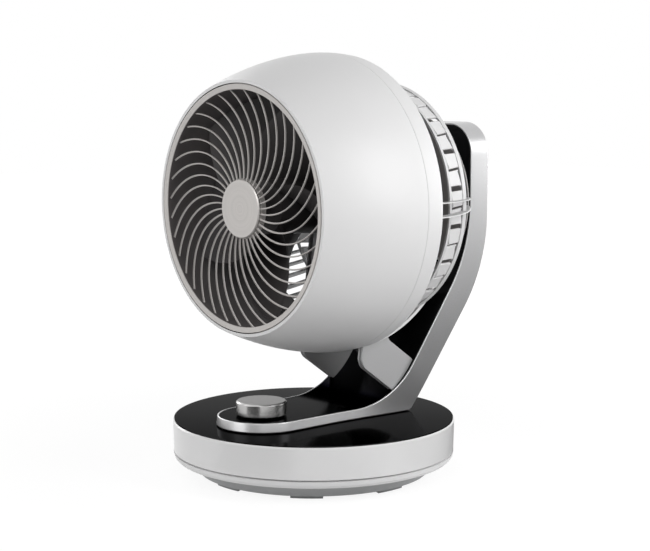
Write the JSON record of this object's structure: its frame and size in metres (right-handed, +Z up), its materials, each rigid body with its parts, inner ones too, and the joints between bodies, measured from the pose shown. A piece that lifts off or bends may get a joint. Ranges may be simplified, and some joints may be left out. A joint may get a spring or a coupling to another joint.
{
  "type": "air circulator fan",
  "caption": "Table air circulator: ball-shaped head with swirl grille and ribbed back, tilting on a J-shaped arm over a round swinging base with a knob.",
  "frame": {"origin": "middle of the object's footprint, on the surface it stands on", "axes": "+Z up, -Y the way the air blows, +X to the right of someone who faces the front; the swing axis is 25 mm in front of the origin"},
  "size_m": [0.2632, 0.3, 0.3702],
  "materials": {
    "white_plastic": "gloss white moulded plastic",
    "grey_plastic": "warm light grey moulded plastic",
    "silver_paint": "silver-grey satin lacquer on plastic",
    "black_gloss": "piano black gloss plastic",
    "charcoal_plastic": "dark charcoal moulded plastic",
    "skirt_plastic": "grey moulded plastic",
    "pad_rubber": "grey rubber",
    "brushed_metal": "brushed aluminium",
    "zinc_steel": "zinc-plated steel",
    "motor_steel": "cast motor housing",
    "nylon": "natural nylon",
    "brass": "turned brass",
    "board_green": "green circuit board"
  },
  "bodies": {
    "foot": {"foot_plate": "skirt_plastic", "foot_pad_1": "pad_rubber", "foot_pad_2": "pad_rubber", "foot_pad_3": "pad_rubber", "foot_pad_4": "pad_rubber", "foot_pad_5": "pad_rubber", "foot_pad_6": "pad_rubber", "foot_pad_7": "pad_rubber", "foot_pad_8": "pad_rubber", "ballast_plate": "zinc_steel", "base_ring": "white_plastic", "glide_ring": "nylon", "ring_screw_1": "zinc_steel", "ring_screw_2": "zinc_steel", "ring_screw_3": "zinc_steel", "ring_screw_4": "zinc_steel", "spindle_cap": "zinc_steel", "cord_gland": "charcoal_plastic", "swing_gear": "nylon"},
    "turntable": {"drum_shell": "white_plastic", "top_plate": "black_gloss", "swing_motor": "zinc_steel", "control_board": "board_green", "knob_encoder": "zinc_steel", "arm_frame": "silver_paint", "arm_inlay": "black_gloss", "fork_left": "silver_paint", "fork_right": "silver_paint"},
    "pinion": {"swing_pinion": "brass"},
    "dial": {"knob": "brushed_metal", "knob_shaft": "brass"},
    "head": {"front_shell": "white_plastic", "air_duct": "charcoal_plastic", "front_grille": "grey_plastic", "hub_cap": "brushed_metal", "rear_cover": "white_plastic", "motor_housing": "motor_steel", "tilt_pin_left": "zinc_steel", "tilt_washer_left": "nylon", "tilt_pin_right": "zinc_steel", "tilt_washer_right": "nylon", "motor_mount": "charcoal_plastic", "mount_screw_1": "zinc_steel", "mount_screw_2": "zinc_steel", "mount_screw_3": "zinc_steel", "mount_screw_4": "zinc_steel"},
    "rotor": {"impeller": "charcoal_plastic", "motor_shaft": "zinc_steel", "spinner_nut": "charcoal_plastic"}
  },
  "joints": [
    {"name": "swing", "type": "hinge", "parent": "foot", "child": "turntable", "pos_m": [0, -0.025, 0], "axis": [0, 0, 1], "range_deg": [-40, 40]},
    {"name": "pinion_turn", "type": "hinge", "parent": "turntable", "child": "pinion", "pos_m": [0, 0.008, 0.018], "axis": [0, 0, 1], "range_deg": [-125, 125]},
    {"name": "dial_turn", "type": "hinge", "parent": "turntable", "child": "dial", "pos_m": [0, -0.0855, 0.065], "axis": [0, 0, -1], "range_deg": [0, 270]},
    {"name": "head_tilt", "type": "hinge", "parent": "turntable", "child": "head", "pos_m": [0, 0.0103, 0.2386], "axis": [-1, 0, 0], "range_deg": [0, 45]},
    {"name": "rotor_spin", "type": "hinge", "parent": "head", "child": "rotor", "pos_m": [0, -0.015, 0.2386], "axis": [0, -1, 0], "continuous": true}
  ],
  "couplings": [
    {"joint": "pinion_turn", "follows": "swing", "ratio": 3}
  ]
}
